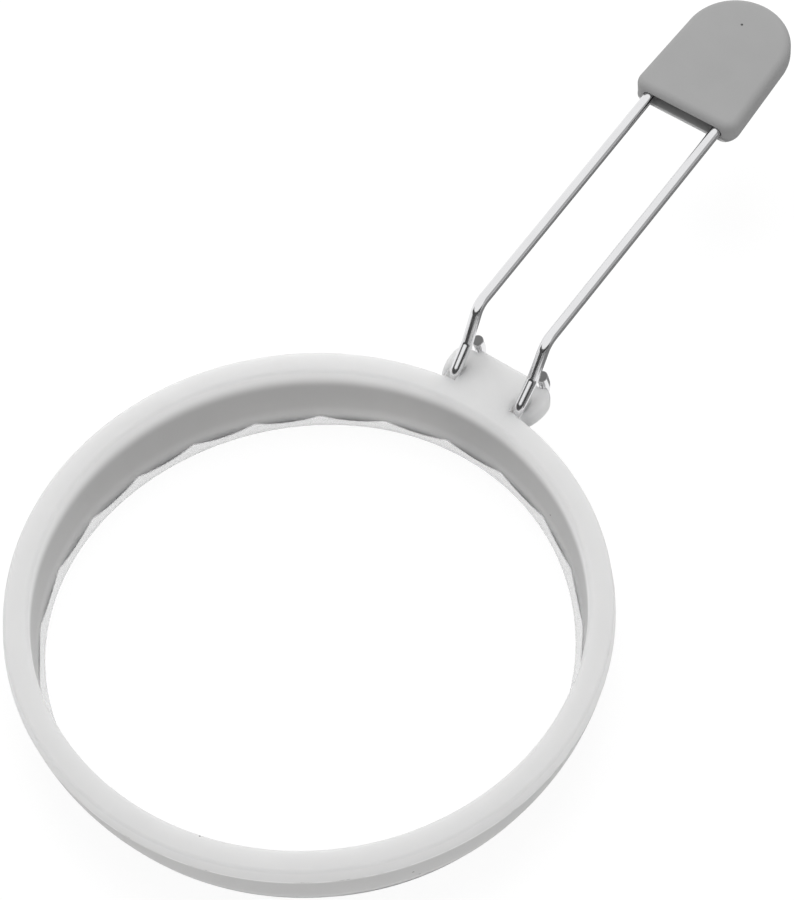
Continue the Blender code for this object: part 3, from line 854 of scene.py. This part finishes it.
# The tone that soft light finds, and the tone and glow that the camera and reflections see
LIT_TONE = 0.85
SEEN_TONE = 0.14
SEEN_GLOW = 0.9
floor_mesh = bpy.data.meshes.new("table_top")
floor_corners = [(x * FLOOR_HALF, y * FLOOR_HALF, -FLOOR_DROP)
                 for x, y in ((-1, -1), (1, -1), (1, 1), (-1, 1))]
floor_mesh.from_pydata(floor_corners, [], [(0, 1, 2, 3)])
floor = link(bpy.data.objects.new("table_top", floor_mesh))
floor_paint = bpy.data.materials.new("pale_table")
floor_paint.use_nodes = True
web = floor_paint.node_tree
nodes, links = web.nodes, web.links
shader = nodes["Principled BSDF"]
rays = nodes.new("ShaderNodeLightPath")
seen = math_node(web, "MAXIMUM", rays.outputs["Is Camera Ray"], rays.outputs["Is Glossy Ray"])
seen_all = math_node(web, "MAXIMUM", seen, rays.outputs["Is Transmission Ray"])
ground = mix_colours(web, seen_all, grey(LIT_TONE), grey(SEEN_TONE))
links.new(ground, shader.inputs["Base Color"])
shader.inputs["Roughness"].default_value = 1
shader.inputs["Specular IOR Level"].default_value = 0
shader.inputs["Emission Color"].default_value = grey(1)
glow = math_node(web, "MULTIPLY", seen_all, SEEN_GLOW)
links.new(glow, shader.inputs["Emission Strength"])
floor.data.materials.append(floor_paint)

# The light: a white tent with a broad soft lamp overhead. Beyond its open right side and its front
# the room is dark, and a dark card lies beside the handle; they are seen in reflections alone.
HANDLE_TURN = math.radians(51.54)
ROOM_LEVEL = 0.58
ROOM_SEEN = 1.0
RIGHT_GAP_WAY = -12
RIGHT_GAP_EDGES = [math.cos(math.radians(spread)) for spread in (41, 36)]
RIGHT_GAP_DEPTH = 0.55
FRONT_GAP_TOPS = [math.sin(math.radians(rise)) for rise in (20, 24)]
FRONT_GAP_DEPTH = 0.93
# How far round the front gap reaches, as cosines from its middle and from the right
FRONT_GAP_SIDES = (-0.25, 0.05)
BESIDE_EDGES = (0.65, 0.8)
photo_turn = Matrix.Translation(RING_CENTRE) @ Matrix.Rotation(-HANDLE_TURN, 4, "Z")


def toward(azimuth):
    """A level direction given in the photograph's own turn, with its right as azimuth 0."""
    turn = math.radians(azimuth)
    return photo_turn.to_3x3() @ Vector((math.cos(turn), math.sin(turn), 0))


world = bpy.data.worlds.new("tent")
bpy.context.scene.world = world
world.use_nodes = True
room = world.node_tree
nodes, links = room.nodes, room.links
background = nodes["Background"]
rays = nodes.new("ShaderNodeLightPath")
way = nodes.new("ShaderNodeTexCoord")


def facing(direction):
    """How far the way looked at agrees with a direction, from -1 to 1."""
    node = nodes.new("ShaderNodeVectorMath")
    node.operation = "DOT_PRODUCT"
    node.inputs[1].default_value = direction
    links.new(way.outputs["Generated"], node.inputs[0])
    return node.outputs["Value"]


right_gap = fade(room, facing(toward(RIGHT_GAP_WAY)), *RIGHT_GAP_EDGES, 0, RIGHT_GAP_DEPTH)
height = math_node(room, "ABSOLUTE", facing(Vector((0, 0, 1))))
low = fade(room, height, *FRONT_GAP_TOPS, FRONT_GAP_DEPTH, 0)
front = fade(room, facing(toward(-90)), *FRONT_GAP_SIDES, 0, 1)
beside = fade(room, facing(toward(0)), *BESIDE_EDGES, 1, 0)
front_gap = math_node(room, "MULTIPLY", low, math_node(room, "MULTIPLY", front, beside))
dark = math_node(room, "MAXIMUM", right_gap, front_gap)
mirrored = math_node(room, "MULTIPLY", dark, rays.outputs["Is Glossy Ray"])
seen = math_node(room, "MAXIMUM", rays.outputs["Is Camera Ray"], rays.outputs["Is Glossy Ray"])
level = nodes.new("ShaderNodeMapRange")
level.inputs["To Min"].default_value = ROOM_LEVEL
level.inputs["To Max"].default_value = ROOM_SEEN
links.new(seen, level.inputs["Value"])
strength = math_node(room, "SUBTRACT", level.outputs["Result"], mirrored)
background.inputs["Color"].default_value = grey(1)
links.new(strength, background.inputs["Strength"])

# The card's outline in millimetres, in the photograph's own turn about the ring's middle
CARD_OUTLINE = ((-600, -110), (-600, -800), (900, -800), (900, 320), (242, 320), (50, 78), (80, 40),
                (95, -60), (60, -110))
CARD_LIFT = 0.5 * MM
CARD_TONE = 0.25
card_mesh = bpy.data.meshes.new("dark_card")
corners = [photo_turn @ Vector((x * MM, y * MM, CARD_LIFT)) for x, y in CARD_OUTLINE]
card_mesh.from_pydata([tuple(corner) for corner in corners], [], [tuple(range(len(corners)))])
card = link(bpy.data.objects.new("dark_card", card_mesh))
card.visible_camera = False
card.visible_diffuse = False
card.visible_shadow = False
card.visible_transmission = False
card_paint = bpy.data.materials.new("black_paper")
card_paint.use_nodes = True
shader = card_paint.node_tree.nodes["Principled BSDF"]
shader.inputs["Base Color"].default_value = grey(CARD_TONE)
shader.inputs["Roughness"].default_value = 1
shader.inputs["Specular IOR Level"].default_value = 0
card_mesh.materials.append(card_paint)

# The lamp hangs above the far side, in the photograph's own turn, and points at the ring's middle
LAMP_PLACE = Vector((0, 0.38, 0.72))
LAMP_SIZE = 0.6
LAMP_POWER = 3.3
lamp_data = bpy.data.lights.new("soft_lamp", "AREA")
lamp_data.size = LAMP_SIZE
lamp_data.energy = LAMP_POWER
soft_lamp = link(bpy.data.objects.new("soft_lamp", lamp_data))
lamp_spot = photo_turn @ LAMP_PLACE
lamp_aim = (RING_CENTRE - lamp_spot).to_track_quat("-Z", "Y").to_matrix().to_4x4()
soft_lamp.matrix_world = Matrix.Translation(lamp_spot) @ lamp_aim
soft_lamp.visible_glossy = False

# The camera: the photograph's viewpoint, fitted to the ring's rim, lip and foot and to the legs
CAMERA_TILT = math.radians(55.62)
CAMERA_ROLL = math.radians(-3.27)
CAMERA_DISTANCE = 800 * MM
CAMERA_AIM = Vector((20.69, 49.59, 0)) * MM
FOCAL_PIXELS = 3564
FRAME_HEIGHT_PIXELS = 900
SENSOR = 36.0
camera_data = bpy.data.cameras.new("photo_camera")
camera_data.sensor_width = SENSOR
camera_data.lens = FOCAL_PIXELS * SENSOR / FRAME_HEIGHT_PIXELS
camera = link(bpy.data.objects.new("photo_camera", camera_data))
back = Vector((0, -math.cos(CAMERA_TILT), math.sin(CAMERA_TILT)))
up = Vector((0, math.sin(CAMERA_TILT), math.cos(CAMERA_TILT)))
right = Vector((1, 0, 0))
rolled_right = math.cos(CAMERA_ROLL) * right + math.sin(CAMERA_ROLL) * up
rolled_up = -math.sin(CAMERA_ROLL) * right + math.cos(CAMERA_ROLL) * up
camera_turn = Matrix((rolled_right, rolled_up, back)).transposed().to_4x4()
camera_place = Matrix.Translation(CAMERA_AIM + back * CAMERA_DISTANCE)
camera.matrix_world = photo_turn @ camera_place @ camera_turn
bpy.context.scene.camera = camera
bpy.context.scene.view_settings.view_transform = "Standard"
